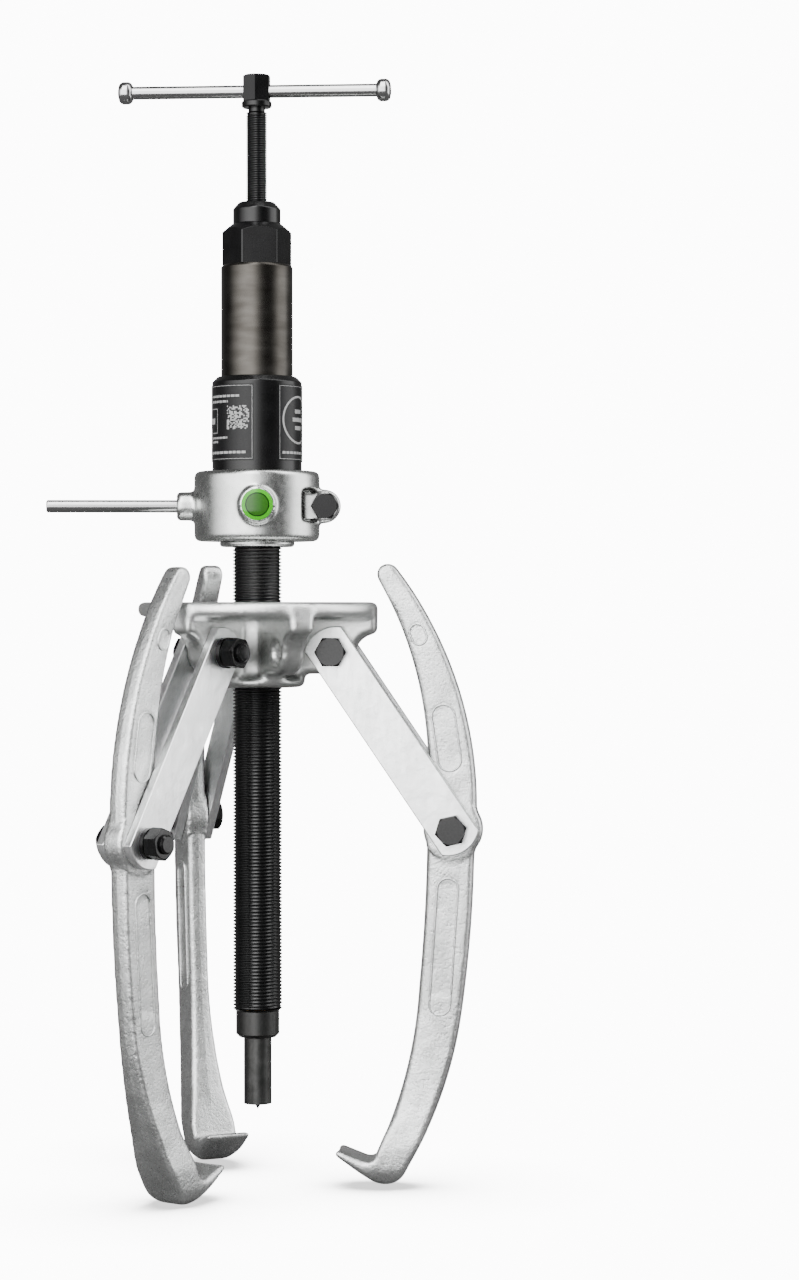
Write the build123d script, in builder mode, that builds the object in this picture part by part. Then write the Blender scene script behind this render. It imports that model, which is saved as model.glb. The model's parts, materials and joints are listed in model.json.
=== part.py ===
from build123d import *
import os
from math import asin, atan2, cos, degrees, radians, sin, sqrt, tan

# Three-arm gear puller with a hydraulic spindle. Millimetres, +Z up, and the
# origin is at the centre of the ram's lower end face. The right arm is on +X.

# ---- layout -----------------------------------------------------------------
ARM_ANGLES = {"right": 0, "front": -120, "rear": 120}
FREE_EAR_ANGLE = -60            # fourth ear, for a two-arm set-up
LINK_SWINGS = {"right": 0, "front": -1.5, "rear": 0}    # outwards from the drawn position
ARM_LEANS = {"right": 0, "front": 0.5, "rear": 0}       # inwards at the top
RING_ANGLE = 8.5                # clamp lug of the ring
BAR_ANGLE = 1.5                 # direction of the tommy bar
CAP_ANGLE = -76.9               # normal of one flat of the hexagon cap

# ---- fits -------------------------------------------------------------------
RUN = 0.06                      # radial clearance of sliding and turning fits
GAP = 0.3                       # air between curved faces that never touch
FACE_GAP = 0.2                  # air between flat faces that slide

# ---- link bars and M16 bolts -------------------------------------------------
UPPER_PIVOT = (66.4, 388)       # radius and height
LOWER_PIVOT = (168.8, 237)
EYE_WIDTH = 20.6                # ears and arm bosses
LINK_WIDTH = 38
LINK_THICK = 8
LINK_END = 20.8                 # from pivot to the crown of the bar's end
LINK_CORNER = 13                # from pivot to the bar's corner
LINK_EDGE = 0.6
BOLT_R = 8
BOLT_AF = 24
BOLT_HEAD = 10
NUT_HEIGHT = 13
NUT_TURN = 8                    # a nut's hexagon against its bolt's
HEX_RIM = 0.96                  # flat top of a hexagon against its across-flats circle
BOLT_END_CHAMFER = 1.5
WASHER_SLIT_TURN = 200
WASHER_R = 13
WASHER_THICK = 4
WASHER_SLIT = 1.6
BOLT_PROUD = 3.5                # end of the bolt beyond its nut
LOWER_BOLT_TURN = 13            # turn of the lower hexagons

# ---- arm --------------------------------------------------------------------
ARM_BOSS_R = 25.4
ARM_THICK = 18.4
HOOK_WIDTH = 41
FLARE_TOP = 95                  # height where the arm starts to widen
FLARE_MID = (13.4, 18)          # half width and height on the way down
FLARE_BOTTOM = -34              # height where it has its full width
FOOT_SIDE = -50                 # height where the round foot starts at the sides
FOOT_LOW = -70                  # its lowest height, in the middle
ARM_TIP_IN = (105, 449.7)       # where the round tip meets the inner and outer edges
ARM_TIP_OUT = (120.5, 459)
HOOK_CROOK = (101, -48.3)       # corner between the arm and the gripping face
HOOK_LIP = (69.5, -36.2)
HOOK_NOSE = (67.6, -40.6)
HOOK_HEEL = (118, -76)
HOOK_ROUNDS = {HOOK_CROOK: 8, HOOK_LIP: 2.2, HOOK_NOSE: 2, HOOK_HEEL: 20}
HOOK_TIP_HOLLOW = 111           # radius of the shallow hollow in the hook's lip
HOOK_TIP_HOLLOW_DEPTH = 1.7
PAD_DEPTH = 0.7
ARM_PADS = (                    # middle, length, width, lean from upright
    ((139.5, 403), 20, 15, 22),
    ((163.6, 315), 59, 22, 8),
    ((161.3, 137), 119, 20, -4),
)

# ---- yoke -------------------------------------------------------------------
YOKE_TOP = 430.5
YOKE_R = 102
YOKE_PLATE = 12.5
YOKE_BOTTOM = 357.5
HUB_R = 34
HUB_FLAT = 18
LOWER_FLANGE_R = 41
LOWER_FLANGE = 8.5
EAR_END = 103.5
EAR_STEP = 403.4
EYE_R = 17.7
FREE_BORE_R = 8.25
EAR_LOWER = 369

# ---- spindle and cylinder, heights above the ram's end face -----------------
THREAD_R = 21                   # M42 x 3
SPINDLE_END = 57.3
SPINDLE_END_R = 18.6
SPINDLE_CHAMFER = 3
THREAD_LOW = 81
SPINDLE_TOP = 540
COLLAR_LOW = 477.7
COLLAR_R = 32
RING_LOW = 482.4
RING_TOP = 542.5
RING_R = 53.8
NECK_R = 30
BODY_R = 38.35
BODY_TOP = 623.2
BODY_CHAMFER = 4.7
PUMP_R = 30.65
PUMP_TOP = 718.9
CAP_TOP = 754
CAP_AF = 52
CAP_TURNED_R = 29.6
CAP_CONE = (746.8, 21)          # height where the cone starts, radius at its top
GLAND_R = 20.35
GLAND_TOP = 772.7
GLAND_CONE = (766.8, 15)

# ---- hydraulic bores ----------------------------------------------------------
CHAMBER_R = 25
CHAMBER_LOW = 554
PUMP_SPIGOT_LOW = 612
PUMP_BORE_R = 10
PUMP_BORE_LOW = 626
PASSAGE_R = 1.5
CAP_SPIGOT_R = 22
CAP_SPIGOT_LOW = 706

# ---- ram --------------------------------------------------------------------
RAM_R = 11.9
RAM_GUIDE_R = 11.65             # the rod above its exposed end
RAM_EXPOSED = 55.5
RAM_BORE_R = RAM_R + GAP
BUSH_R = 14.5
BUSH_TOP = 85
PISTON_LOW = 594
PISTON_TOP = 610
SEAL_GROOVE = (3.5, 4)          # depth and height
POINT_R = 3.1
POINT_SHANK_R = 2.6
POINT_SHANK = 14
SEAT_THICK = 4
SPRING_R = 18
SPRING_WIRE = 1.6
SPRING_TURNS = 5

# ---- pressure screw and tommy bar ---------------------------------------------
SCREW_R = 9                     # M18 x 2
SCREW_LOW = 718
UNDERCUT_LOW = 850
UNDERCUT_R = 7.1
FLANGE_LOW = 853.6
FLANGE_R = 12.85
HEAD_LOW = 859.2
HEAD_TOP = 881.5
HEAD_AF = 22
BAR_R = 5.5
BAR_HEIGHT = 867.5
BAR_LENGTH = 234
BAR_SHIFT = -2
KNOB_R = 9.6
KNOB_LENGTH = 12
KNOB_SHANK_R = 4.2
PLUNGER_LOW = 700
PLUNGER_GROOVE_UP = 5           # from the plunger's foot to its seal
SEAL_RING = (9.3, 12, 3.5)      # inner radius, outer radius and height
KNOB_ROUND = 4.5
KNOB_PEEN = 0.4

# ---- ring furniture -------------------------------------------------------------
RING_MID = 512.5
RING_EDGE = 4.5
ROD_R = 5.4
ROD_END = 180
ROD_BOSS_R = 12.45
ROD_BOSS_END = 69
ROD_ROOT = 36
CAP_BOSS_R = 15.75
CAP_BOSS_END = 58.8
BOSS_EDGE = 1.5
GREEN_R = 13.35
GREEN_SEAT = 2
GREEN_DOME = 2
LUG_R = 14.3
LUG_CENTRE = 57.5
LUG_HALF = 14
POCKET_WALL = 38
POCKET_HALF = 12.5
CLAMP_BOLT_R = 7
CLAMP_AF = 21
CLAMP_HEAD = 9
CLAMP_NUT = 8
SLIT = 3
ROD_CHAMFER = 1
LABEL_FOOT = 8
LABEL_HEIGHT = 65
LABEL_THICK = 0.5
LABELS = {"left": (-131, 90), "right": (-12.5, 82)}     # middle and span in degrees


def finish(builder, name, place=Location()):
    """Label a finished piece and write its STEP file, moved to its place."""
    piece = builder.part.moved(place)
    piece.label = name
    export_step(piece, f"parts/{name}.step")


def turned(profile):
    """Part turned about the Z axis from (radius, height) corners."""
    with BuildPart() as shape:
        with BuildSketch(Plane.XZ):
            with BuildLine():
                Polyline(*profile, close=True)
            make_face()
        revolve(axis=Axis.Z)
    return shape


def upright(angle, offset=0):
    """Plane with X outwards at this angle, Y up, and its normal clockwise from above."""
    outward = Vector(cos(radians(angle)), sin(radians(angle)), 0)
    normal = Vector(sin(radians(angle)), -cos(radians(angle)), 0)
    return Plane(origin=normal * offset, x_dir=outward, z_dir=normal)


def outward_plane(angle, radius, height):
    """Plane whose normal points outwards at this angle."""
    outward = Vector(cos(radians(angle)), sin(radians(angle)), 0)
    return Plane(
        origin=(outward.X * radius, outward.Y * radius, height),
        x_dir=(-outward.Y, outward.X, 0),
        z_dir=outward,
    )


def ear_outline():
    """Ear of the yoke seen from the side: end face, hollow below it and round eye."""
    eye_r, eye_z = UPPER_PIVOT
    reach = EAR_END - eye_r
    drop = EAR_STEP - eye_z
    hollow = (reach**2 + drop**2 - EYE_R**2) / (2 * (EYE_R + drop))
    centre = (EAR_END, EAR_STEP - hollow)
    meet = atan2(centre[1] - eye_z, centre[0] - eye_r)
    touch = (eye_r + EYE_R * cos(meet), eye_z + EYE_R * sin(meet))
    halfway = (radians(90) + radians(180) + meet) / 2
    inside = HUB_R - 8
    with BuildSketch(mode=Mode.PRIVATE) as ear:
        with BuildLine():
            Polyline((inside, EAR_LOWER), (inside, YOKE_TOP - 1), (EAR_END, YOKE_TOP - 1),
                     (EAR_END, EAR_STEP))
            ThreePointArc(
                (EAR_END, EAR_STEP),
                (centre[0] + hollow * cos(halfway), centre[1] + hollow * sin(halfway)),
                touch,
            )
            Polyline(touch, (eye_r, EAR_LOWER), (inside, EAR_LOWER))
        make_face()
        with Locations(UPPER_PIVOT):
            Circle(EYE_R)
    return ear.sketch


def make_yoke():
    """Cast yoke: top plate, hub, bottom flange and four drilled ears."""
    with BuildPart() as yoke:
        with BuildSketch(Plane.XY.offset(YOKE_BOTTOM)):
            Circle(HUB_R)
        extrude(amount=YOKE_TOP - YOKE_BOTTOM)
        with BuildSketch(Plane.XY.offset(YOKE_BOTTOM)):
            Circle(LOWER_FLANGE_R)
        extrude(amount=LOWER_FLANGE)
        flat = sqrt(HUB_R**2 - (HUB_FLAT / 2) ** 2)
        for angle in (-30, -90, 180, 60):
            with BuildSketch(outward_plane(angle, flat, YOKE_BOTTOM + LOWER_FLANGE)):
                Rectangle(2 * HUB_R, YOKE_TOP, align=(Align.CENTER, Align.MIN))
            extrude(amount=HUB_R, mode=Mode.SUBTRACT)
        with BuildSketch(Plane.XY.offset(YOKE_TOP - YOKE_PLATE)):
            Circle(YOKE_R)
        extrude(amount=YOKE_PLATE)
        for angle in (*ARM_ANGLES.values(), FREE_EAR_ANGLE):
            with BuildSketch(upright(angle)):
                add(ear_outline())
            extrude(amount=EYE_WIDTH / 2, both=True)
        rims = [e for e in yoke.edges().filter_by(GeomType.CIRCLE) if e.radius > YOKE_R - 1]
        fillet([e for e in rims if e.center().Z > YOKE_TOP - 0.5], radius=0.9)
        with BuildSketch(Plane.XY.offset(YOKE_BOTTOM)):
            Circle(THREAD_R + RUN)
        extrude(amount=YOKE_TOP - YOKE_BOTTOM, mode=Mode.SUBTRACT)
        bores = [(angle, BOLT_R + RUN) for angle in ARM_ANGLES.values()]
        for angle, radius in (*bores, (FREE_EAR_ANGLE, FREE_BORE_R)):
            with BuildSketch(upright(angle)):
                with Locations(UPPER_PIVOT):
                    Circle(radius)
            extrude(amount=EYE_WIDTH, both=True, mode=Mode.SUBTRACT)
    finish(yoke, "yoke")


def pivots(side):
    """Both pivots of one arm where its links stand, each with the turn of its hexagons."""
    swing = radians(LINK_SWINGS[side])
    run = LOWER_PIVOT[0] - UPPER_PIVOT[0]
    rise = LOWER_PIVOT[1] - UPPER_PIVOT[1]
    lower = (
        UPPER_PIVOT[0] + run * cos(swing) - rise * sin(swing),
        UPPER_PIVOT[1] + run * sin(swing) + rise * cos(swing),
    )
    return (UPPER_PIVOT, 0), (lower, LOWER_BOLT_TURN)


def link_outline(turn):
    """Link bar in its own frame, from the upper pivot to the lower one."""
    length = sqrt(
        (LOWER_PIVOT[0] - UPPER_PIVOT[0]) ** 2 + (LOWER_PIVOT[1] - UPPER_PIVOT[1]) ** 2
    )
    half = LINK_WIDTH / 2
    with BuildSketch(mode=Mode.PRIVATE) as bar:
        with BuildLine():
            ThreePointArc((-LINK_CORNER, half), (-LINK_END, 0), (-LINK_CORNER, -half))
            Line((-LINK_CORNER, -half), (length + LINK_CORNER, -half))
            ThreePointArc(
                (length + LINK_CORNER, -half), (length + LINK_END, 0), (length + LINK_CORNER, half)
            )
            Line((length + LINK_CORNER, half), (-LINK_CORNER, half))
        make_face()
        with Locations((0, 0), (length, 0)):
            Circle(BOLT_R, mode=Mode.SUBTRACT)
    return bar.sketch.rotate(Axis.Z, turn)


def make_link(name, side, facing):
    """One link bar, on the head side (+1) or the nut side (-1) of its arm."""
    angle = ARM_ANGLES[side]
    lower = pivots(side)[1][0]
    rise = lower[1] - UPPER_PIVOT[1]
    run = lower[0] - UPPER_PIVOT[0]
    inner = EYE_WIDTH / 2 + FACE_GAP
    start = inner if facing > 0 else -inner - LINK_THICK
    with BuildPart() as link:
        with BuildSketch(upright(angle, start)):
            with Locations(UPPER_PIVOT):
                add(link_outline(degrees(atan2(rise, run))))
        extrude(amount=LINK_THICK)
        faces = link.faces().sort_by(Axis(upright(angle).origin, upright(angle).z_dir))
        chamfer([faces[0].outer_wire().edges(), faces[-1].outer_wire().edges()], LINK_EDGE)
    finish(link, name)


def hexagon(across_flats, height, turn, lower_rim):
    """Hexagon on the XY plane with its upper corners turned off, and its lower ones too if asked."""
    corner = across_flats / sqrt(3)
    rim = across_flats / 2 * HEX_RIM
    drop = (corner - rim) * tan(radians(30))
    foot = [(rim, 0), (corner, drop)] if lower_rim else [(corner, 0)]
    with BuildPart() as blank:
        with BuildSketch():
            RegularPolygon(across_flats / 2, 6, major_radius=False, rotation=turn)
        extrude(amount=height)
        with BuildSketch(Plane.XZ):
            with BuildLine():
                Polyline((0, 0), *foot, (corner, height - drop), (rim, height), (0, height),
                         close=True)
            make_face()
        revolve(axis=Axis.Z, mode=Mode.INTERSECT)
    return blank.part


def pivot_plane(angle, pivot, offset):
    """Plane across a pivot, its normal clockwise from above."""
    flat = upright(angle, offset)
    return Plane(
        origin=flat.from_local_coords((pivot[0], pivot[1], 0)), x_dir=flat.x_dir, z_dir=flat.z_dir
    )


def make_bolts(name, side):
    """Upper and lower M16 bolts of one arm."""
    angle = ARM_ANGLES[side]
    head_face = EYE_WIDTH / 2 + FACE_GAP + LINK_THICK
    length = 2 * head_face + WASHER_THICK + NUT_HEIGHT + BOLT_PROUD
    with BuildPart() as bolts:
        for pivot, turn in pivots(side):
            head = hexagon(BOLT_AF, BOLT_HEAD, turn, False)
            with Locations(Location(pivot_plane(angle, pivot, head_face))):
                add(head)
            with BuildSketch(pivot_plane(angle, pivot, head_face)):
                Circle(BOLT_R)
            extrude(amount=-length)
        ends = bolts.faces().filter_by(GeomType.PLANE).sort_by(Axis((0, 0, 0), upright(angle).z_dir))
        chamfer([face.edges() for face in ends[:2]], BOLT_END_CHAMFER)
    finish(bolts, name)


def make_nuts(name, side):
    """Upper and lower M16 nuts of one arm."""
    angle = ARM_ANGLES[side]
    far_face = EYE_WIDTH / 2 + FACE_GAP + LINK_THICK + WASHER_THICK + NUT_HEIGHT
    with BuildPart() as nuts:
        for pivot, turn in pivots(side):
            nut = hexagon(BOLT_AF, NUT_HEIGHT, turn + NUT_TURN, True)
            with Locations(Location(pivot_plane(angle, pivot, -far_face))):
                add(nut)
            with BuildSketch(pivot_plane(angle, pivot, -far_face)):
                Circle(BOLT_R)
            extrude(amount=NUT_HEIGHT, mode=Mode.SUBTRACT)
    finish(nuts, name)


def make_lock_washers(name, side):
    """Upper and lower split lock washers of one arm."""
    angle = ARM_ANGLES[side]
    far_face = EYE_WIDTH / 2 + FACE_GAP + LINK_THICK + WASHER_THICK
    with BuildPart() as washers:
        for pivot, turn in pivots(side):
            with BuildSketch(pivot_plane(angle, pivot, -far_face)):
                Circle(WASHER_R)
                Circle(BOLT_R, mode=Mode.SUBTRACT)
                with Locations(Location((0, 0, 0), (0, 0, WASHER_SLIT_TURN + turn))):
                    Rectangle(WASHER_R * 2, WASHER_SLIT, align=(Align.MIN, Align.CENTER),
                              mode=Mode.SUBTRACT)
            extrude(amount=WASHER_THICK)
    finish(washers, name)


def arm_outline():
    """Arm seen from the side: radius across, height up."""
    tip = ((ARM_TIP_OUT[0] + ARM_TIP_IN[0]) / 2, (ARM_TIP_OUT[1] + ARM_TIP_IN[1]) / 2)
    half = (Vector(*ARM_TIP_OUT) - Vector(*ARM_TIP_IN)) / 2
    crown = (tip[0] - half.Y, tip[1] + half.X)
    with BuildSketch(mode=Mode.PRIVATE) as outline:
        with BuildLine():
            ThreePointArc(ARM_TIP_OUT, crown, ARM_TIP_IN)
            ThreePointArc(ARM_TIP_IN, (134.5, 379.3), (146.7, 305.2))
            Line((146.7, 305.2), (146.2, 221.8))
            ThreePointArc((146.2, 221.8), (143.6, 155), (139.3, 101.2))
            ThreePointArc((139.3, 101.2), (126.7, 23.8), (104.5, -37.5))
            Polyline((104.5, -37.5), HOOK_CROOK, HOOK_LIP, HOOK_NOSE, HOOK_HEEL, (131, -51.2))
            ThreePointArc((131, -51.2), (156.3, 2.5), (176.4, 82.2))
            ThreePointArc((176.4, 82.2), (183, 140), (186.8, 210))
            Line((186.8, 210), (189.2, 253))
            ThreePointArc((189.2, 253), (167.9, 374.5), ARM_TIP_OUT)
        make_face()
        for corner, radius in HOOK_ROUNDS.items():
            fillet(outline.vertices().sort_by_distance(corner)[0], radius)
    return outline.sketch


def arm_place(side):
    """Move from the drawn position to where one arm hangs on its links."""
    angle = ARM_ANGLES[side]
    drawn = Location(pivot_plane(angle, LOWER_PIVOT, 0))
    hung = Location(pivot_plane(angle, pivots(side)[1][0], 0))
    return hung * Location((0, 0, 0), (0, 0, ARM_LEANS[side])) * drawn.inverse()


def make_arm(name, side):
    """Forged arm: bow, pivot boss, hook and shallow blank pads."""
    angle = ARM_ANGLES[side]
    side_view = upright(angle)
    front_view = outward_plane(angle, 0, 0)
    half = ARM_THICK / 2
    full = HOOK_WIDTH / 2
    drop = FOOT_SIDE - FOOT_LOW
    foot_r = (full**2 + drop**2) / (2 * drop)
    turn = atan2(full, foot_r - drop) / 2
    foot_mid = (foot_r * sin(turn), FOOT_LOW + foot_r * (1 - cos(turn)))
    with BuildPart() as arm:
        with BuildSketch(side_view):
            add(arm_outline())
        extrude(amount=full, both=True)
        with BuildSketch(front_view):
            with BuildLine():
                Polyline((0, 500), (half, 500), (half, FLARE_TOP))
                ThreePointArc((half, FLARE_TOP), FLARE_MID, (full, FLARE_BOTTOM))
                Line((full, FLARE_BOTTOM), (full, FOOT_SIDE))
                ThreePointArc((full, FOOT_SIDE), foot_mid, (0, FOOT_LOW))
                Line((0, FOOT_LOW), (0, 500))
            make_face()
            mirror(about=Plane.YZ)
        extrude(amount=250, mode=Mode.INTERSECT)
        with BuildSketch(side_view):
            with Locations(LOWER_PIVOT):
                Circle(ARM_BOSS_R)
        extrude(amount=EYE_WIDTH / 2, both=True)
        for turn in (1, -1):
            with BuildSketch(upright(angle, turn * half)):
                for place, length, width, lean in ARM_PADS:
                    with Locations(Location((*place, 0), (0, 0, 90 + lean))):
                        SlotOverall(length, width)
            extrude(amount=-turn * PAD_DEPTH, mode=Mode.SUBTRACT)
        with BuildSketch(side_view):
            with Locations(LOWER_PIVOT):
                Circle(BOLT_R + RUN)
        extrude(amount=EYE_WIDTH, both=True, mode=Mode.SUBTRACT)
        lip = outward_plane(angle, HOOK_NOSE[0] + HOOK_TIP_HOLLOW_DEPTH - HOOK_TIP_HOLLOW, -100)
        with BuildSketch(Plane(origin=lip.origin, x_dir=lip.x_dir, z_dir=(0, 0, 1))):
            Circle(HOOK_TIP_HOLLOW)
        extrude(amount=120, mode=Mode.SUBTRACT)
    finish(arm, name, arm_place(side))


def make_spindle():
    """Hollow M42 spindle with its plain lower end."""
    spindle = turned([
        (BUSH_R, SPINDLE_END), (SPINDLE_END_R - SPINDLE_CHAMFER, SPINDLE_END),
        (SPINDLE_END_R, SPINDLE_END + SPINDLE_CHAMFER), (SPINDLE_END_R, THREAD_LOW - 1),
        (THREAD_R, THREAD_LOW + 1), (THREAD_R, SPINDLE_TOP), (RAM_BORE_R, SPINDLE_TOP),
        (RAM_BORE_R, BUSH_TOP), (BUSH_R, BUSH_TOP),
    ])
    finish(spindle, "spindle_tube")
    bush = turned([
        (RAM_GUIDE_R + RUN, SPINDLE_END + 1), (BUSH_R, SPINDLE_END + 1), (BUSH_R, BUSH_TOP),
        (RAM_GUIDE_R + RUN, BUSH_TOP),
    ])
    finish(bush, "ram_guide_bush")


def make_cylinder():
    """Cylinder body, pump cylinder, hexagon cap, gland and gland seal."""
    body = turned([
        (THREAD_R, RING_LOW), (NECK_R, RING_LOW), (NECK_R, RING_TOP), (BODY_R, RING_TOP),
        (BODY_R, BODY_TOP - BODY_CHAMFER), (BODY_R - BODY_CHAMFER, BODY_TOP),
        (CHAMBER_R, BODY_TOP), (CHAMBER_R, CHAMBER_LOW), (RAM_BORE_R, CHAMBER_LOW),
        (RAM_BORE_R, SPINDLE_TOP), (THREAD_R, SPINDLE_TOP),
    ])
    finish(body, "cylinder_body")
    pump = turned([
        (PASSAGE_R, PUMP_SPIGOT_LOW), (CHAMBER_R, PUMP_SPIGOT_LOW), (CHAMBER_R, BODY_TOP),
        (PUMP_R, BODY_TOP), (PUMP_R, PUMP_TOP - 2.2), (PUMP_R - 1.5, PUMP_TOP),
        (CAP_SPIGOT_R, PUMP_TOP), (CAP_SPIGOT_R, CAP_SPIGOT_LOW), (PUMP_BORE_R, CAP_SPIGOT_LOW),
        (PUMP_BORE_R, PUMP_BORE_LOW), (PASSAGE_R, PUMP_BORE_LOW),
    ])
    finish(pump, "pump_cylinder")
    cone_low, cone_r = CAP_CONE
    with BuildPart() as cap:
        with BuildSketch(Plane.XY.offset(PUMP_TOP)):
            RegularPolygon(CAP_AF / 2, 6, major_radius=False, rotation=CAP_ANGLE - 30)
        extrude(amount=CAP_TOP - PUMP_TOP)
        with BuildSketch(Plane.XZ):
            with BuildLine():
                Polyline(
                    (SCREW_R + RUN, PUMP_TOP), (CAP_TURNED_R, PUMP_TOP), (CAP_TURNED_R, cone_low),
                    (cone_r, CAP_TOP), (SCREW_R + RUN, CAP_TOP), close=True,
                )
            make_face()
        revolve(axis=Axis.Z, mode=Mode.INTERSECT)
        with BuildSketch(Plane.XY.offset(CAP_SPIGOT_LOW)):
            Circle(CAP_SPIGOT_R)
            Circle(PUMP_BORE_R, mode=Mode.SUBTRACT)
        extrude(amount=PUMP_TOP - CAP_SPIGOT_LOW)
    finish(cap, "hexagon_cap")
    seal_in, seal_out, seal_high = SEAL_RING
    cone_low, cone_r = GLAND_CONE
    gland = turned([
        (SCREW_R + RUN, CAP_TOP), (GLAND_R, CAP_TOP), (GLAND_R, cone_low), (cone_r, GLAND_TOP),
        (seal_out, GLAND_TOP), (seal_out, GLAND_TOP - seal_high),
        (SCREW_R + RUN, GLAND_TOP - seal_high),
    ])
    finish(gland, "gland")
    seal = turned([
        (seal_in, GLAND_TOP - seal_high), (seal_out, GLAND_TOP - seal_high),
        (seal_out, GLAND_TOP), (seal_in, GLAND_TOP),
    ])
    finish(seal, "gland_seal")


def make_labels():
    """Two blank label plates wrapped round the cylinder body."""
    low = RING_TOP + LABEL_FOOT
    reach = 2 * BODY_R
    for name, (angle, span) in LABELS.items():
        turns = [radians(angle + step * span / 2) for step in (-1, 0, 1)]
        corners = [(reach * cos(turn), reach * sin(turn)) for turn in turns]
        with BuildPart() as label:
            with BuildSketch(Plane.XY.offset(low)):
                Circle(BODY_R + LABEL_THICK)
                Circle(BODY_R, mode=Mode.SUBTRACT)
            extrude(amount=LABEL_HEIGHT)
            with BuildSketch(Plane.XY.offset(low)):
                with BuildLine():
                    Polyline((0, 0), *corners, close=True)
                make_face()
            extrude(amount=LABEL_HEIGHT, mode=Mode.INTERSECT)
        finish(label, f"{name}_label")


def make_ram():
    """Ram rod, its centre point, piston, piston seal, spring seat and return spring."""
    rod = turned([
        (0, POINT_SHANK), (POINT_SHANK_R, POINT_SHANK), (POINT_SHANK_R, 0),
        (RAM_R, 0), (RAM_R, RAM_EXPOSED), (RAM_GUIDE_R, RAM_EXPOSED), (RAM_GUIDE_R, PISTON_LOW),
        (0, PISTON_LOW),
    ])
    finish(rod, "ram_rod")
    point = turned([
        (0, -POINT_R * sqrt(3)), (POINT_R, 0), (POINT_SHANK_R, 0), (POINT_SHANK_R, POINT_SHANK),
        (0, POINT_SHANK),
    ])
    finish(point, "centre_point")
    depth, height = SEAL_GROOVE
    piston_r = CHAMBER_R - RUN
    middle = (PISTON_LOW + PISTON_TOP) / 2
    piston = turned([
        (0, PISTON_LOW), (piston_r, PISTON_LOW), (piston_r, middle - height / 2),
        (piston_r - depth, middle - height / 2), (piston_r - depth, middle + height / 2),
        (piston_r, middle + height / 2), (piston_r, PISTON_TOP), (0, PISTON_TOP),
    ])
    finish(piston, "ram_piston")
    seal = turned([
        (piston_r - depth, middle - height / 2), (piston_r, middle - height / 2),
        (piston_r, middle + height / 2), (piston_r - depth, middle + height / 2),
    ])
    finish(seal, "piston_seal")
    seat_low = CHAMBER_LOW + FACE_GAP
    seat = turned([
        (RAM_R + GAP, seat_low), (CHAMBER_R - GAP, seat_low),
        (CHAMBER_R - GAP, seat_low + SEAT_THICK), (RAM_R + GAP, seat_low + SEAT_THICK),
    ])
    finish(seat, "spring_seat")
    start = seat_low + SEAT_THICK + SPRING_WIRE + FACE_GAP
    rise = PISTON_LOW - FACE_GAP - SPRING_WIRE - start
    with BuildPart() as spring:
        with BuildLine():
            coil = Helix(rise / SPRING_TURNS, rise, SPRING_R, center=(0, 0, start))
        with BuildSketch(Plane(origin=coil @ 0, z_dir=coil % 0)):
            Circle(SPRING_WIRE)
        sweep(is_frenet=True)
    finish(spring, "return_spring")


def make_pressure_screw():
    """Plunger, plunger seal, M18 pressure screw, tommy bar and knobs."""
    plunger_r = PUMP_BORE_R - RUN
    groove = PLUNGER_LOW + PLUNGER_GROOVE_UP
    plunger = turned([
        (0, PLUNGER_LOW), (plunger_r, PLUNGER_LOW), (plunger_r, groove),
        (plunger_r - 2, groove), (plunger_r - 2, groove + 3), (plunger_r, groove + 3),
        (plunger_r, SCREW_LOW), (0, SCREW_LOW),
    ])
    finish(plunger, "plunger")
    seal = turned([
        (plunger_r - 2, groove), (plunger_r, groove), (plunger_r, groove + 3),
        (plunger_r - 2, groove + 3),
    ])
    finish(seal, "plunger_seal")
    bar = Plane(origin=(0, 0, BAR_HEIGHT), x_dir=(0, 0, 1),
                z_dir=(cos(radians(BAR_ANGLE)), sin(radians(BAR_ANGLE)), 0))
    screw_low = SCREW_LOW + FACE_GAP
    shaft = [
        (0, screw_low), (SCREW_R - 2, screw_low), (SCREW_R, screw_low + 2),
        (SCREW_R, UNDERCUT_LOW - 1), (UNDERCUT_R, UNDERCUT_LOW), (UNDERCUT_R, FLANGE_LOW),
        (FLANGE_R - 1, FLANGE_LOW), (FLANGE_R, FLANGE_LOW + 1), (FLANGE_R, HEAD_LOW - 1),
        (FLANGE_R - 1, HEAD_LOW), (0, HEAD_LOW),
    ]
    head = hexagon(HEAD_AF, HEAD_TOP - HEAD_LOW, BAR_ANGLE - 30, False)
    with BuildPart() as screw:
        with BuildSketch(Plane.XZ):
            with BuildLine():
                Polyline(*shaft, close=True)
            make_face()
        revolve(axis=Axis.Z)
        with Locations((0, 0, HEAD_LOW)):
            add(head)
        with BuildSketch(bar):
            Circle(BAR_R + RUN)
        extrude(amount=HEAD_AF, both=True, mode=Mode.SUBTRACT)
    finish(screw, "pressure_screw")
    middle = bar.offset(BAR_SHIFT)
    inner = BAR_LENGTH / 2 - KNOB_LENGTH
    with BuildPart() as rod:
        with BuildSketch(middle):
            Circle(BAR_R)
        extrude(amount=inner, both=True)
        with BuildSketch(middle):
            Circle(KNOB_SHANK_R)
        extrude(amount=BAR_LENGTH / 2 + KNOB_PEEN, both=True)
    finish(rod, "tommy_bar")
    with BuildPart() as knobs:
        for side in (1, -1):
            with BuildSketch(middle.offset(side * (inner + KNOB_LENGTH / 2))):
                Circle(KNOB_R)
            extrude(amount=KNOB_LENGTH / 2, both=True)
        fillet(knobs.edges(), KNOB_ROUND)
        with BuildSketch(middle):
            Circle(KNOB_SHANK_R)
        extrude(amount=BAR_LENGTH, both=True, mode=Mode.SUBTRACT)
    finish(knobs, "tommy_bar_knobs")


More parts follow.
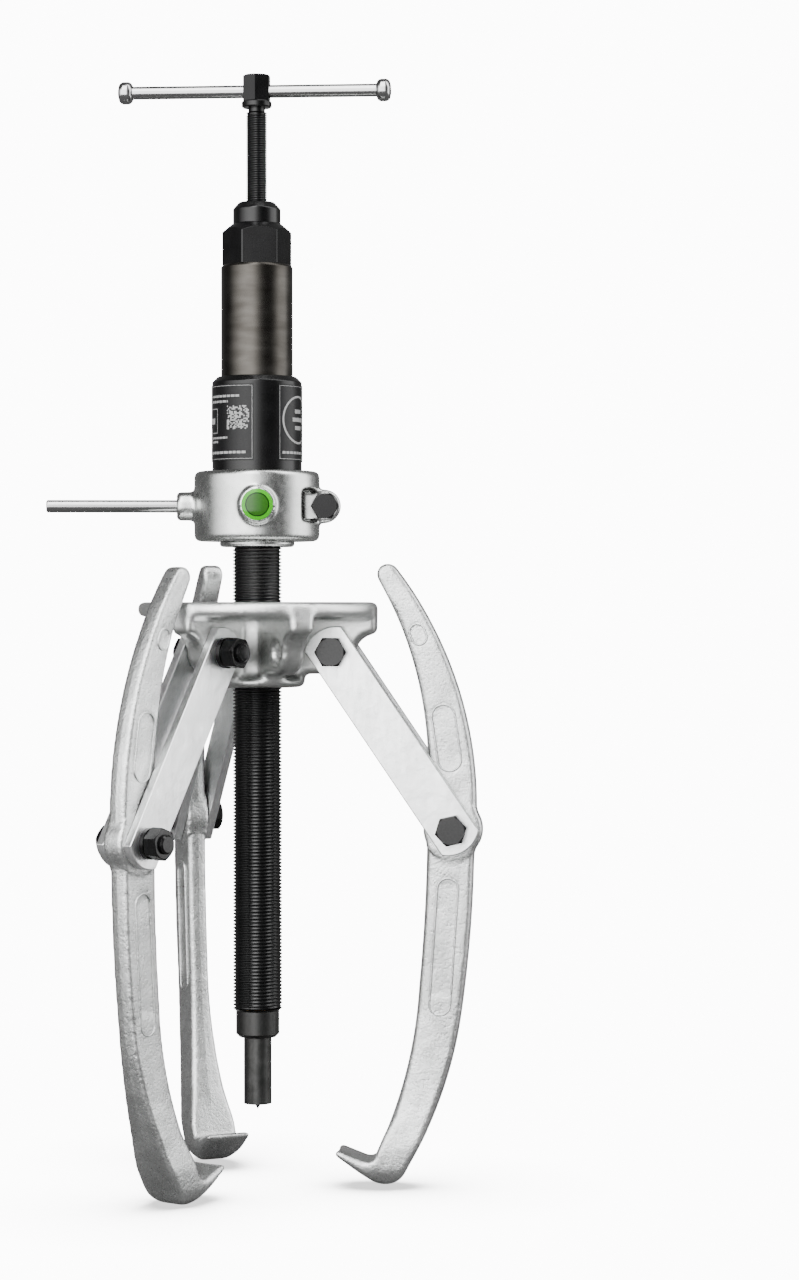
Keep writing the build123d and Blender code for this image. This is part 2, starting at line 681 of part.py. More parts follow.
def make_ring():
    """Split clamp ring and the collar below it."""
    collar = turned([
        (THREAD_R, COLLAR_LOW), (COLLAR_R - 1.5, COLLAR_LOW), (COLLAR_R, COLLAR_LOW + 1.5),
        (COLLAR_R, RING_LOW), (THREAD_R, RING_LOW),
    ])
    finish(collar, "spindle_collar")
    start = NECK_R + 5
    bosses = ((RING_ANGLE - 90, CAP_BOSS_R, CAP_BOSS_END), (RING_ANGLE - 180, ROD_BOSS_R, ROD_BOSS_END))
    with BuildPart() as ring:
        with BuildSketch(Plane.XY.offset(RING_LOW)):
            Circle(RING_R)
        extrude(amount=RING_TOP - RING_LOW)
        fillet(ring.edges(), RING_EDGE)
        with BuildSketch(upright(RING_ANGLE)):
            with Locations((LUG_CENTRE, RING_MID)):
                Circle(LUG_R)
            with Locations((start, RING_MID)):
                Rectangle(LUG_CENTRE - start, 2 * LUG_R, align=(Align.MIN, Align.CENTER))
        extrude(amount=LUG_HALF, both=True)
        for angle, radius, end in bosses:
            with BuildSketch(outward_plane(angle, start, RING_MID)):
                Circle(radius)
            extrude(amount=end - start)
            rim = ring.edges().filter_by(GeomType.CIRCLE)
            rim = rim.sort_by_distance(outward_plane(angle, end, RING_MID).origin)[0]
            fillet(rim, BOSS_EDGE)
        for side in (1, -1):
            with BuildSketch(upright(RING_ANGLE, side * LUG_HALF)):
                with Locations((POCKET_WALL, RING_MID)):
                    Rectangle(RING_R, 2 * POCKET_HALF, align=(Align.MIN, Align.CENTER))
            extrude(amount=side * RING_R, mode=Mode.SUBTRACT)
        with BuildSketch(Plane.XY.offset(RING_LOW)):
            Circle(NECK_R)
        extrude(amount=RING_TOP - RING_LOW, mode=Mode.SUBTRACT)
        with BuildSketch(upright(RING_ANGLE)):
            with Locations((NECK_R / 2, RING_MID)):
                Rectangle(RING_R, RING_R * 2, align=(Align.MIN, Align.CENTER))
        extrude(amount=SLIT / 2, both=True, mode=Mode.SUBTRACT)
        with BuildSketch(upright(RING_ANGLE)):
            with Locations((LUG_CENTRE, RING_MID)):
                Circle(CLAMP_BOLT_R)
        extrude(amount=RING_R, both=True, mode=Mode.SUBTRACT)
        with BuildSketch(outward_plane(RING_ANGLE - 180, ROD_ROOT, RING_MID)):
            Circle(ROD_R)
        extrude(amount=ROD_END, mode=Mode.SUBTRACT)
        with BuildSketch(outward_plane(RING_ANGLE - 90, CAP_BOSS_END - GREEN_SEAT, RING_MID)):
            Circle(GREEN_R)
        extrude(amount=RING_R, mode=Mode.SUBTRACT)
    finish(ring, "clamp_ring")


def make_ring_fittings():
    """Clamp bolt and nut, handle rod and domed cap of the ring."""
    centre = (LUG_CENTRE, RING_MID)
    head = hexagon(CLAMP_AF, CLAMP_HEAD, 0, False)
    with BuildPart() as bolt:
        with Locations(Location(pivot_plane(RING_ANGLE, centre, LUG_HALF))):
            add(head)
        with BuildSketch(pivot_plane(RING_ANGLE, centre, LUG_HALF)):
            Circle(CLAMP_BOLT_R)
        extrude(amount=-2 * LUG_HALF - CLAMP_NUT - BOLT_END_CHAMFER)
    finish(bolt, "clamp_bolt")
    blank = hexagon(CLAMP_AF, CLAMP_NUT, 0, True)
    with BuildPart() as nut:
        with Locations(Location(pivot_plane(RING_ANGLE, centre, -LUG_HALF - CLAMP_NUT))):
            add(blank)
        with BuildSketch(pivot_plane(RING_ANGLE, centre, -LUG_HALF)):
            Circle(CLAMP_BOLT_R)
        extrude(amount=-CLAMP_NUT, mode=Mode.SUBTRACT)
    finish(nut, "clamp_nut")
    root = outward_plane(RING_ANGLE - 180, ROD_ROOT, RING_MID)
    with BuildPart() as rod:
        with BuildSketch(root):
            Circle(ROD_R)
        extrude(amount=ROD_END - ROD_ROOT)
        tip = rod.faces().sort_by(Axis(root.origin, root.z_dir))[-1]
        chamfer(tip.edges(), ROD_CHAMFER)
    finish(rod, "handle_rod")
    seat = CAP_BOSS_END - GREEN_SEAT
    front = outward_plane(RING_ANGLE - 90, seat, RING_MID)
    profile = Plane(origin=front.origin, x_dir=front.x_dir, z_dir=(0, 0, 1))
    crown = -GREEN_SEAT - GREEN_DOME
    dome_r = (GREEN_R**2 + GREEN_DOME**2) / (2 * GREEN_DOME)
    half = asin(GREEN_R / dome_r) / 2
    with BuildPart() as cap:
        with BuildSketch(profile):
            with BuildLine():
                ThreePointArc((0, crown), (dome_r * sin(half), crown + dome_r * (1 - cos(half))),
                              (GREEN_R, -GREEN_SEAT))
                Polyline((GREEN_R, -GREEN_SEAT), (GREEN_R, 0), (0, 0), (0, crown))
            make_face()
        revolve(axis=Axis(front.origin, front.z_dir))
    finish(cap, "green_cap")


os.makedirs("parts", exist_ok=True)
make_yoke()
for arm_name in ARM_ANGLES:
    make_link(f"{arm_name}_link_head_side", arm_name, 1)
    make_link(f"{arm_name}_link_nut_side", arm_name, -1)
    make_bolts(f"{arm_name}_link_bolts", arm_name)
    make_nuts(f"{arm_name}_link_nuts", arm_name)
    make_lock_washers(f"{arm_name}_lock_washers", arm_name)
    make_arm(f"{arm_name}_arm", arm_name)
make_spindle()
make_cylinder()
make_labels()
make_ram()
make_pressure_screw()
make_ring()
make_ring_fittings()
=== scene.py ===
import json
from math import cos, degrees, hypot, pi, radians, sin

import bmesh
import bpy
import numpy as np
from mathutils import Matrix, Vector, noise

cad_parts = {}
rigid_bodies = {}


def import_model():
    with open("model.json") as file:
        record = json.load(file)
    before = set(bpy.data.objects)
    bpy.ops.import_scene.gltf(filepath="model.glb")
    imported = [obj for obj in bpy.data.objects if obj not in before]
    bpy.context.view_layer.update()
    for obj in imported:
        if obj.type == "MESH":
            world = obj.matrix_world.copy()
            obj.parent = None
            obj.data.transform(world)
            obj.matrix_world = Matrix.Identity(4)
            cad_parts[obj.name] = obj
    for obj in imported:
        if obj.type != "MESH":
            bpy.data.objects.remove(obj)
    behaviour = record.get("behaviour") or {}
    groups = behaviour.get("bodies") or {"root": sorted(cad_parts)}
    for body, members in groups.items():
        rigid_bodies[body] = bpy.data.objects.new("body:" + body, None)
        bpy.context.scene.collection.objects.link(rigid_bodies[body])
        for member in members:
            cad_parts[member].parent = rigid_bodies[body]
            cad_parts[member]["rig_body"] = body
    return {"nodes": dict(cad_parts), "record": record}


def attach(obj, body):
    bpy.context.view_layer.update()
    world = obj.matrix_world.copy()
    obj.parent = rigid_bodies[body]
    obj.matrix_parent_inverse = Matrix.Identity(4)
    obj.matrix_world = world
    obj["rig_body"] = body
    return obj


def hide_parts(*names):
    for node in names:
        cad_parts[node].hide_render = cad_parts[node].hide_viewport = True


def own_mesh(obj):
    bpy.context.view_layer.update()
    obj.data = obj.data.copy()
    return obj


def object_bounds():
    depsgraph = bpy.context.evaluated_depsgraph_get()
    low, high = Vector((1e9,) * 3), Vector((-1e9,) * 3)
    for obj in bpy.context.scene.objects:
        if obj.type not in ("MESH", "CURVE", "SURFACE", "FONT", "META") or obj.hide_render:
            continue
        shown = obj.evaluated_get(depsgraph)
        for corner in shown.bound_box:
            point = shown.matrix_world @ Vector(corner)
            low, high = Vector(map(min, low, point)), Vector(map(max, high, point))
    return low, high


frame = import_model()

MM = 0.001
cad_low, cad_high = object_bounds()

# ---- the object's layout, as the CAD has it (angles in degrees) ------------------
ARM_ANGLES = {"right": 0, "front": -120, "rear": 120}
RING_ANGLE = 8.5
CAP_HEIGHT = 512.5 * MM
UPPER_PIVOT = Vector((66.4, 0, 388)) * MM
LOWER_PIVOT = Vector((168.8, 0, 237)) * MM
LINK_SWINGS = {"right": 0, "front": -1.5, "rear": 0}
ARM_LEANS = {"right": 0, "front": 0.5, "rear": 0}
ARM_FACE = 9.2 * MM
ARM_PADS = (        # middle, length, width, lean
    (Vector((139.5, 0, 403)) * MM, 20 * MM, 15 * MM, 22),
    (Vector((163.6, 0, 315)) * MM, 59 * MM, 22 * MM, 8),
    (Vector((161.3, 0, 137)) * MM, 119 * MM, 20 * MM, -4),
)
SPINDLE_THREAD_FOOT = 82 * MM
LABEL_RADIUS = 38.85 * MM
LABEL_LOW = 550.5 * MM
LABEL_HIGH = 615.5 * MM

# ---- surface work -----------------------------------------------------------------
THREADS = {         # node: lower end, upper end, pitch, outer radius, depth
    "spindle_tube": (SPINDLE_THREAD_FOOT, 481.5 * MM, 3 * MM, 21 * MM, 1.75 * MM),
    "pressure_screw": (720.2 * MM, 849 * MM, 2 * MM, 9 * MM, 1.15 * MM),
}
THREAD_PROFILE = ((0.0, 0), (0.05, 0), (0.38, 1), (0.56, 1), (0.90, 0))     # share of pitch, of depth
THREAD_RUN_OUT = 0.9        # pitches over which a thread fades at its ends

ARM_CASTING = (0.95, 1.8, 1.4)      # grid, fillet of inner corners and rounding of edges, in mm
CASTINGS = {"yoke": (1.12, 2.0, 2.2), "clamp_ring": (0.8, 1.0, 1.3)}

EDGES = {           # rounded edges of the machined pieces, in mm
    "hexagon_cap": 0.5, "gland": 0.8, "cylinder_body": 0.6, "pump_cylinder": 0.4, "ram_rod": 1.6,
    "green_cap": 0.3, "spindle_collar": 1.2, "handle_rod": 0.3, "tommy_bar": 0.2,
    "tommy_bar_knobs": 2.8, "clamp_bolt": 0.35, "clamp_nut": 0.35, "centre_point": 0.1,
}
ARM_SIDE_EDGES = {
    "link_head_side": 0.5, "link_nut_side": 0.5, "link_bolts": 0.35, "link_nuts": 0.35,
    "lock_washers": 0.3,
}
WIDE_EDGE = 2       # mm; a wider edge is rounded in more steps

DRAFT = 0.14        # slope of an arm's edge faces, each way from the middle
INNER_THIN = 0.14   # share by which an arm is thinner along its inner edge
PAD_RIM = 1.0 * MM
PAD_RIM_SINK = 0.2 * MM

COARSE_LOW, COARSE_HIGH = 404 * MM, 450 * MM        # heights round the yoke's plate
SHINY_LOW, SHINY_HIGH = 390 * MM, 460 * MM          # the castings get shinier on the way up

PRINT_RADIUS = LABEL_RADIUS + 0.06 * MM
LABEL_FRAME_INSET = 1.4 * MM
LEFT_FRAME = (-174.5, -87.5)
RIGHT_FRAME = (-52, 27)
BOX = (-170, -141, 574 * MM, 595 * MM)
BOX_MARK = (-163, -148, 582 * MM, 587 * MM)
WORD_LINES = (      # first and last angle, height, letter height in mm
    (-170, -104.5, 604.3, 1.9), (-170, -121, 599.8, 1.9), (-170, -122, 569.2, 1.7),
    (-170, -140, 565.8, 1.7), (-170, -96, 556.4, 2.1),
)
DOTS = 17           # rows and columns of the block of dots
DOTS_ANGLE, DOTS_SPAN = -122.5, 31
DOTS_LOW, DOTS_SIZE = 577 * MM, 20 * MM
EMBLEM_ANGLE, EMBLEM_HEIGHT = -17.5, 585.6 * MM
EMBLEM_BARS = ((577, 8), (584, 13), (591, 8))       # lower edge in mm, half width in degrees
EMBLEM_BAR_HEIGHT = 3.4

# ---- camera and studio --------------------------------------------------------------
CAMERA_AZIMUTH = 8.5
CAMERA_DISTANCE = 2.68
CAMERA_HEIGHT = 0.432
CAMERA_LENS = 87.75
CAMERA_YAW = 2.61
CAMERA_PITCH = 0.73
CAMERA_ROLL = -0.03

FLOOR_SIZE = 2.6
FLOOR_TONE = (0.1, 0.1, 0.1, 1)
# how far the floor's painted contact shadows reach, in m
SHADOW_REACH = 0.16
WHITE = 12.0        # brightness of everything behind the object

# Light by direction round the axis in degrees: low in the room, and overhead.
LOW_BANDS = (
    (-180, 0.12), (-172, 0.5), (-150, 3.2), (-134, 5.6), (-116, 7.0), (-94, 6.6), (-84, 3.4),
    (-70, 0.6), (-56, 0.12), (-30, 0.12), (-18, 1.2), (-6, 4.2), (22, 4.2), (32, 0.5),
    (50, 0.12), (90, 0.3), (180, 0.12),
)
HIGH_BANDS = (
    (-180, 0.1), (-134, 0.15), (-122, 1.5), (-112, 11.0), (-88, 11.0), (-78, 1.5), (-66, 0.3),
    (-30, 0.3), (-20, 6.0), (2, 7.0), (12, 2.0), (30, 0.3), (180, 0.1),
)
LOW_BANDS_END, HIGH_BANDS_START = 0.42, 0.6     # sine of the height above the horizon


# ======================================================================================
# Meshes
# ======================================================================================

def new_object(name, mesh, body, *nodes):
    """Object that rides on a CAD body and stands for the named CAD nodes."""
    piece = bpy.data.objects.new(name, mesh)
    bpy.context.scene.collection.objects.link(piece)
    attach(piece, body)
    if nodes:
        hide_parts(*nodes)
    return piece


def body_of(node):
    return frame["nodes"][node]["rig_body"]


def slot_of(node):
    for row in frame["record"]["subparts"]:
        if row["node"] == node:
            return row["material_slot"]


def clamped(value, low=0.0, high=1.0):
    return max(low, min(high, value))


def welded(node):
    """The CAD node's surface as a bmesh, its split corners joined again."""
    bm = bmesh.new()
    bm.from_mesh(frame["nodes"][node].data)
    bmesh.ops.remove_doubles(bm, verts=bm.verts, dist=2e-6)
    bmesh.ops.dissolve_degenerate(bm, edges=bm.edges, dist=1e-6)
    return bm


def plain_mesh(bm, name):
    mesh = bpy.data.meshes.new(name)
    bm.to_mesh(mesh)
    bm.free()
    return mesh


def as_mesh(bm, name, sharp_angle=32):
    """Mesh with smooth shading and sharp edges where faces meet at an angle."""
    for face in bm.faces:
        face.smooth = True
    for edge in bm.edges:
        edge.smooth = not (edge.is_manifold and edge.calc_face_angle(0) > radians(sharp_angle))
    return plain_mesh(bm, name)


def evaluated(mesh, name, *modifiers):
    """Mesh after modifiers, each given as (type, {settings})."""
    holder = bpy.data.objects.new(name + "_work", mesh)
    bpy.context.scene.collection.objects.link(holder)
    for number, (kind, settings) in enumerate(modifiers):
        modifier = holder.modifiers.new(f"step_{number}", kind)
        for key, value in settings.items():
            setattr(modifier, key, value)
    graph = bpy.context.evaluated_depsgraph_get()
    result = bpy.data.meshes.new_from_object(holder.evaluated_get(graph), depsgraph=graph)
    bpy.data.objects.remove(holder)
    result.name = name
    return result


def machined(node, edge):
    """CAD node rebuilt with small rounded edges, as a machined piece has."""
    flat_angle, corner_angle = radians(0.4), radians(30)
    bm = welded(node)
    bmesh.ops.dissolve_limit(bm, angle_limit=flat_angle, verts=bm.verts, edges=bm.edges)
    mesh = evaluated(plain_mesh(bm, node), node + "_edges", ("BEVEL", {
        "width": edge * MM, "segments": 5 if edge > WIDE_EDGE else 2,
        "limit_method": "ANGLE", "angle_limit": corner_angle, "use_clamp_overlap": True,
    }))
    bm = bmesh.new()
    bm.from_mesh(mesh)
    piece = new_object(node + "_look", as_mesh(bm, node + "_look"), body_of(node), node)
    flat = piece.modifiers.new("flat_faces", "WEIGHTED_NORMAL")
    flat.keep_sharp = True
    flat.weight = 100
    return piece


def cast_mesh(node, voxel, fillet, edge):
    """CAD node remeshed evenly, its inner corners filled and its edges rounded as in a casting."""
    grid = ("REMESH", {"mode": "VOXEL", "voxel_size": voxel * MM, "use_smooth_shade": True})

    def offset(distance):
        return "DISPLACE", {"strength": distance * MM, "mid_level": 0.0}

    def soften(rounds):
        return "SMOOTH", {"factor": 0.5, "iterations": rounds}

    return evaluated(
        plain_mesh(welded(node), node), node + "_cast",
        grid, soften(8), offset(fillet),
        grid, soften(14), offset(-fillet - edge),
        grid, soften(14), offset(edge), soften(16),
    )


def cast_piece(node):
    piece = new_object(node + "_look", cast_mesh(node, *CASTINGS[node]), body_of(node), node)
    return piece


def turned_about(angle):
    return Matrix.Rotation(radians(angle), 4, "Z")


# ---- threads ---------------------------------------------------------------------------

def thread_mesh(bm, low, high, pitch, crest, depth, around=96):
    """External thread between two heights: a ribbon of helical rows round the Z axis."""
    root = crest - depth
    turns = int((high - low) / pitch) + 2
    rows = [(turn + part, rise) for turn in range(-1, turns) for part, rise in THREAD_PROFILE]
    wrap = len(THREAD_PROFILE)
    rings = []
    for start, rise in rows:
        ring = []
        for step in range(around):
            share = step / around
            height = low + (start + share) * pitch
            inside = min(height - low, high - height)
            run_out = clamped(inside / (THREAD_RUN_OUT * pitch))
            r = root + depth * rise * run_out
            angle = 2 * pi * share
            ring.append(bm.verts.new((r * cos(angle), r * sin(angle), clamped(height, low, high))))
        rings.append(ring)
    for row in range(len(rows) - 1):
        for step in range(around):
            if step < around - 1:
                corners = (rings[row][step], rings[row][step + 1],
                           rings[row + 1][step + 1], rings[row + 1][step])
            elif row + 1 + wrap < len(rows):
                corners = (rings[row][step], rings[row + wrap][0],
                           rings[row + 1 + wrap][0], rings[row + 1][step])
            else:
                continue
            if all((a.co - b.co).length > 1e-7 for a, b in zip(corners, corners[1:] + corners[:1])):
                bm.faces.new(corners)


def threaded(node):
    """CAD node with its plain threaded length swapped for a real helical thread."""
    low, high, pitch, crest, depth = THREADS[node]
    bm = welded(node)
    plain = [
        face for face in bm.faces
        if all(abs(hypot(v.co.x, v.co.y) - crest) < 0.05 * MM for v in face.verts)
    ]
    bmesh.ops.delete(bm, geom=plain, context="FACES")
    thread_mesh(bm, low, high, pitch, crest, depth)
    piece = new_object(node + "_look", as_mesh(bm, node + "_look", sharp_angle=40), body_of(node), node)
    return piece


# ---- arms ------------------------------------------------------------------------------

def tilted(angle):
    """Turn in the XZ plane that swings points below the centre outwards."""
    return Matrix.Rotation(radians(-angle), 4, "Y")


def arm_matrix(side):
    """From the right arm as drawn to where one arm hangs."""
    hung = UPPER_PIVOT + tilted(LINK_SWINGS[side]) @ (LOWER_PIVOT - UPPER_PIVOT)
    return (turned_about(ARM_ANGLES[side]) @ Matrix.Translation(hung)
            @ tilted(ARM_LEANS[side]) @ Matrix.Translation(-LOWER_PIVOT))


def arm_outline(places, step=8.0, foot=-80.0, top=480.0):
    """For each point (in mm), the arm's inner and outer edge at that height."""
    levels = np.arange(foot, top, step)
    rows = np.clip(((places[:, 2] - foot) / step).astype(int), 0, len(levels) - 1)
    inner = np.full(len(levels), 1e4)
    outer = np.full(len(levels), -1e4)
    np.minimum.at(inner, rows, places[:, 0])
    np.maximum.at(outer, rows, places[:, 0])
    used = outer > 0
    middles = levels[used] + step / 2
    return np.interp(places[:, 2], middles, inner[used]), np.interp(places[:, 2], middles, outer[used])


def shape_arm(mesh, side):
    """Forging draft that leaves a ridge along the middle of both edges, and slightly uneven faces."""
    forth = arm_matrix(side)
    back = forth.inverted()
    places = np.array([back @ v.co for v in mesh.vertices]) / MM
    boss_radius = 27
    unevenness, unevenness_scale, face_share = 0.22, 0.07, 0.8
    for vertex, (r, y, z), low, high in zip(mesh.vertices, places, *arm_outline(places)):
        middle = (low + high) / 2
        half = max((high - low) / 2, 1)
        across = clamped((r - middle) / half, -1.0)
        fade = clamped((z + 25) / 20) * clamped((440 - z) / 30)
        boss = hypot(r - LOWER_PIVOT.x / MM, z - LOWER_PIVOT.z / MM) < boss_radius
        if boss:
            fade = 0
        shift = -across * abs(across) ** 2 * DRAFT * abs(y) * fade
        thin = 1 - INNER_THIN * max(0.0, -across) ** 2 * fade
        uneven = noise.noise(Vector((r, y, z)) * unevenness_scale) * unevenness
        outwards = 1 if y > 0 else -1
        y_new = y * thin + (uneven * outwards if not boss and abs(across) < face_share else 0)
        vertex.co = forth @ (Vector((r + shift, y_new, z)) * MM)


def pad_rims(bm, side):
    """Raised rounded rims round the blank pads on both faces of an arm."""
    forth = arm_matrix(side)
    around, section = 56, 8
    for face in (1, -1):
        surface = Vector((0, face * (ARM_FACE - PAD_RIM_SINK), 0))
        for place, length, width, lean in ARM_PADS:
            radius = width / 2 - PAD_RIM
            straight = length / 2 - width / 2
            loops = []
            for step in range(around):
                turn = 2 * pi * step / around
                end = straight if cos(turn) >= 0 else -straight
                middle = Vector((end + radius * cos(turn), 0, radius * sin(turn)))
                outwards = Vector((cos(turn), 0, sin(turn)))
                loop = []
                for part in range(section):
                    rise = 2 * pi * part / section
                    point = middle + outwards * PAD_RIM * cos(rise) + Vector((0, PAD_RIM * sin(rise), 0))
                    point = tilted(90 + lean) @ point + place + surface
                    loop.append(bm.verts.new(forth @ point))
                loops.append(loop)
            for a, b in zip(loops, loops[1:] + loops[:1]):
                for part in range(section):
                    after = (part + 1) % section
                    bm.faces.new((a[part], b[part], b[after], a[after]))


def make_arm(side):
    node = f"{side}_arm"
    mesh = cast_mesh(node, *ARM_CASTING)
    shape_arm(mesh, side)
    bm = bmesh.new()
    bm.from_mesh(mesh)
    pad_rims(bm, side)
    bmesh.ops.recalc_face_normals(bm, faces=bm.faces)
    piece = new_object(node + "_look", as_mesh(bm, node + "_look", sharp_angle=180), body_of(node), node)
    return piece


# ---- labels ----------------------------------------------------------------------------

def patch(bm, low_angle, high_angle, low, high):
    """Thin curved rectangle on a label, its outside facing outwards."""
    count = max(1, int(abs(high_angle - low_angle) / 3))
    rows = []
    for number in range(count + 1):
        angle = radians(low_angle + (high_angle - low_angle) * number / count)
        rows.append([
            bm.verts.new((PRINT_RADIUS * cos(angle), PRINT_RADIUS * sin(angle), height))
            for height in (low, high)
        ])
    for a, b in zip(rows, rows[1:]):
        bm.faces.new((a[0], b[0], b[1], a[1]))


def frame_lines(bm, low_angle, high_angle, low, high, line=0.35 * MM):
    """Thin printed frame."""
    turn = degrees(line / LABEL_RADIUS)
    patch(bm, low_angle, high_angle, low, low + line)
    patch(bm, low_angle, high_angle, high - line, high)
    patch(bm, low_angle, low_angle + turn, low, high)
    patch(bm, high_angle - turn, high_angle, low, high)


def label_frame(bm, low_angle, high_angle):
    """Frame along the edge of a whole label."""
    frame_lines(bm, low_angle, high_angle, LABEL_LOW + LABEL_FRAME_INSET, LABEL_HIGH - LABEL_FRAME_INSET)


def words(bm, low_angle, high_angle, low, height, seed):
    """A line of plain bars of uneven length in the place of words."""
    shortest, longest, gap = 2.5, 8.5, 1.2
    angle = low_angle
    step = 0
    while angle < high_angle:
        share = noise.noise(Vector((seed * 7.3, step * 1.7, 0.5))) * 0.5 + 0.5
        end = min(angle + shortest + (longest - shortest) * share, high_angle)
        patch(bm, angle, end, low, low + height)
        angle = end + gap
        step += 1


def block_of_dots(bm):
    """Square of random dots in the place of a square code."""
    for row in range(DOTS):
        for column in range(DOTS):
            if noise.cell(Vector((row * 1.7 + 3.1, column * 2.3 + 0.7, 4.4))) > 0.0:
                turn = DOTS_ANGLE + DOTS_SPAN * column / DOTS
                height = DOTS_LOW + DOTS_SIZE * row / DOTS
                patch(bm, turn, turn + DOTS_SPAN / DOTS, height, height + DOTS_SIZE / DOTS)


def printed_ring(bm, angle, height, inner, outer, steps=72):
    loops = []
    for step in range(steps + 1):
        turn = 2 * pi * step / steps
        loops.append([
            (radians(angle) + size * cos(turn) / LABEL_RADIUS, height + size * sin(turn))
            for size in (inner, outer)
        ])
    for a, b in zip(loops, loops[1:]):
        bm.faces.new([
            bm.verts.new((PRINT_RADIUS * cos(around), PRINT_RADIUS * sin(around), z))
            for around, z in (a[0], b[0], b[1], a[1])
        ])


def make_prints():
    """Wordless prints of both labels: frames, bars, a block of dots and a plain ring."""
    bm = bmesh.new()
    label_frame(bm, *LEFT_FRAME)
    for low_angle, high_angle, height, size in WORD_LINES:
        words(bm, low_angle, high_angle, height * MM, size * MM, height)
    frame_lines(bm, *BOX, line=0.6 * MM)
    patch(bm, *BOX_MARK)
    block_of_dots(bm)
    label_frame(bm, *RIGHT_FRAME)
    printed_ring(bm, EMBLEM_ANGLE, EMBLEM_HEIGHT, 18.8 * MM, 20.6 * MM)
    for level, half in EMBLEM_BARS:
        top = level + EMBLEM_BAR_HEIGHT
        patch(bm, EMBLEM_ANGLE - half, EMBLEM_ANGLE + half, level * MM, top * MM)
    words(bm, -48, 22, 556.4 * MM, 2.1 * MM, 3)
    bmesh.ops.recalc_face_normals(bm, faces=bm.faces)
    piece = new_object("label_prints", plain_mesh(bm, "label_prints"), body_of("cylinder_body"))
    piece.data.materials.append(MATERIALS["label_print"])


# ---- return spring ---------------------------------------------------------------------

def make_spring():
    """The CAD's spring as a piece of its own, riding on the spring's body."""
    spring = new_object(
        "return_spring_look", frame["nodes"]["return_spring"].data.copy(),
        body_of("return_spring"), "return_spring",
    )
    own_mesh(spring)
    return spring


# ======================================================================================
# Materials
# ======================================================================================

def add_node(tree, kind, inputs=(), **settings):
    """Shader node with its settings and inputs, each input a value or another node's output."""
    made = tree.nodes.new(kind)
    for key, value in settings.items():
        setattr(made, key, value)
    for key, value in dict(inputs).items():
        if isinstance(value, bpy.types.NodeSocket):
            tree.links.new(value, made.inputs[key])
        else:
            made.inputs[key].default_value = value
    return made


class Graph:
    """Small helper that builds a node material. A plain value counts where nothing is linked."""

    def __init__(self, name, metallic=0.0, **sockets):
        self.material = bpy.data.materials.new(name)
        self.material.use_nodes = True
        self.tree = self.material.node_tree
        self.shader = self.tree.nodes["Principled BSDF"]
        self.shader.inputs["Metallic"].default_value = metallic
        for key, value in sockets.items():
            self.shader.inputs[key.replace("_", " ")].default_value = value
        self.place = self.tree.nodes.new("ShaderNodeTexCoord").outputs["Object"]

    def node(self, kind, inputs=(), **settings):
        return add_node(self.tree, kind, inputs, **settings)

    def math(self, operation, *values):
        return self.node("ShaderNodeMath", dict(enumerate(values)), operation=operation).outputs[0]

    def height(self):
        return self.node("ShaderNodeSeparateXYZ", {0: self.place}).outputs[2]

    def stretched(self, x, y, z):
        """Object coordinates scaled by axis."""
        return self.node("ShaderNodeMapping", {"Vector": self.place, "Scale": (x, y, z)}).outputs[0]

    def grain(self, scale, detail=3.0, rough=0.6, place=None):
        """Noise value; scale is in features per metre."""
        return self.node("ShaderNodeTexNoise", {
            "Vector": place or self.place, "Scale": scale, "Detail": detail, "Roughness": rough,
        }).outputs["Fac"]

    def ramp(self, value, low, high, to_low=0.0, to_high=1.0):
        return self.node("ShaderNodeMapRange", {
            "Value": value, "From Min": low, "From Max": high, "To Min": to_low, "To Max": to_high,
        }, clamp=True).outputs[0]

    def spread(self, grain, to_low=0.0, to_high=1.0):
        """The usual reach of a noise value, spread over a range."""
        return self.ramp(grain, 0.3, 0.7, to_low, to_high)

    def mix(self, factor, a, b):
        """Colour between a and b, each a colour or another node's output."""
        a, b = (c if isinstance(c, bpy.types.NodeSocket) else (*c, 1) for c in (a, b))
        return self.node("ShaderNodeMix", {0: factor, 6: a, 7: b}, data_type="RGBA").outputs[2]

    def clouds(self, grain, a, b):
        """Soft patches of two colours."""
        return self.mix(self.ramp(grain, 0.35, 0.65), a, b)

    def bump(self, height, distance, strength=1.0, under=None):
        made = self.node("ShaderNodeBump", {"Height": height, "Distance": distance, "Strength": strength})
        if under is not None:
            self.tree.links.new(under, made.inputs["Normal"])
        return made.outputs[0]

    def set(self, socket, value):
        self.tree.links.new(value, self.shader.inputs[socket])


def forged_zinc():
    g = Graph("forged_zinc", metallic=1.0)
    fine = g.grain(1400, 3, 0.7)
    skin = g.grain(430, 4, 0.65)
    g.set("Base Color", g.clouds(g.grain(45, 3, 0.5), (0.56, 0.57, 0.565), (0.7, 0.71, 0.705)))
    g.set("Roughness", g.spread(skin, 0.24, 0.4))
    pitted = g.bump(skin, 0.6 * MM, 0.9)
    swell = g.bump(g.grain(110, 2, 0.5), 0.5 * MM, 0.6, pitted)
    g.set("Normal", g.bump(fine, 0.12 * MM, 0.8, swell))
    return g.material


def plated_bar():
    g = Graph("plated_bar", metallic=1.0)
    fine = g.grain(1100, 3, 0.7)
    marks = g.grain(1.0, 3, 0.6, g.stretched(300, 300, 60))
    g.set("Base Color", g.clouds(g.grain(35, 3, 0.5), (0.83, 0.84, 0.84), (0.92, 0.93, 0.93)))
    g.set("Roughness", g.spread(marks, 0.28, 0.4))
    swell = g.bump(g.grain(90, 2, 0.5), 0.5 * MM, 0.6)
    g.set("Normal", g.bump(fine, 0.1 * MM, 0.8, swell))
    return g.material


